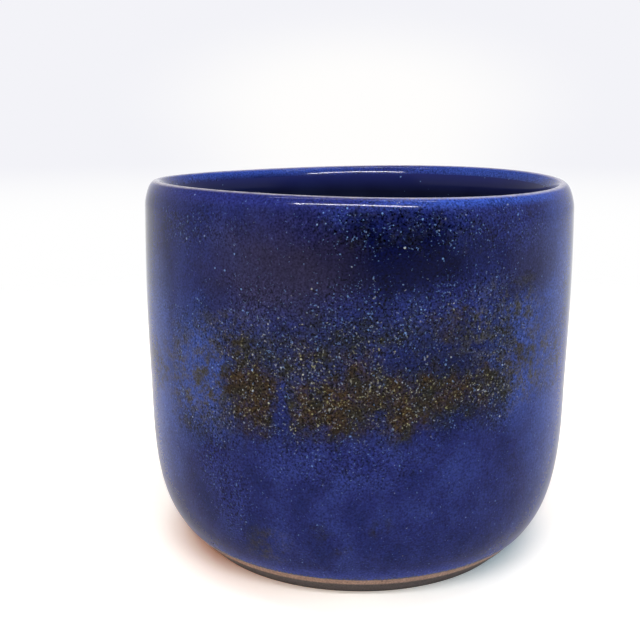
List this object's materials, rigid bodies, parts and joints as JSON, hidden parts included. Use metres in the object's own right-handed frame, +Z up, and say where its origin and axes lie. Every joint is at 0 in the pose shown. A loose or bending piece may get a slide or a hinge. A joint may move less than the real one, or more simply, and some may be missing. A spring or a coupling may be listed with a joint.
{
  "type": "stoneware cup",
  "caption": "Handleless hand-thrown stoneware cup with a rounded lip, curved belly and trimmed bare foot, glazed inside and out, for holding a drink.",
  "frame": {"origin": "on the cup's axis, in the plane of the foot ring that rests on the table", "axes": "+Z up along the axis on which the cup was turned, -Y towards the viewer of the picture, +X to the viewer's right"},
  "size_m": [0.0878, 0.0878, 0.076],
  "materials": {
    "clay": "bare fired stoneware, warm brown, matt and slightly gritty, with fine trimming lines round the foot",
    "outer_glaze": "glossy cobalt blue glaze with a speckled iron brown band round the middle and a darker navy band above it",
    "inner_glaze": "glossy dark cobalt blue liner glaze with faint speckle"
  },
  "bodies": {
    "root": {"clay_body": "clay", "outer_glaze": "outer_glaze", "inner_glaze": "inner_glaze"}
  },
  "joints": []
}
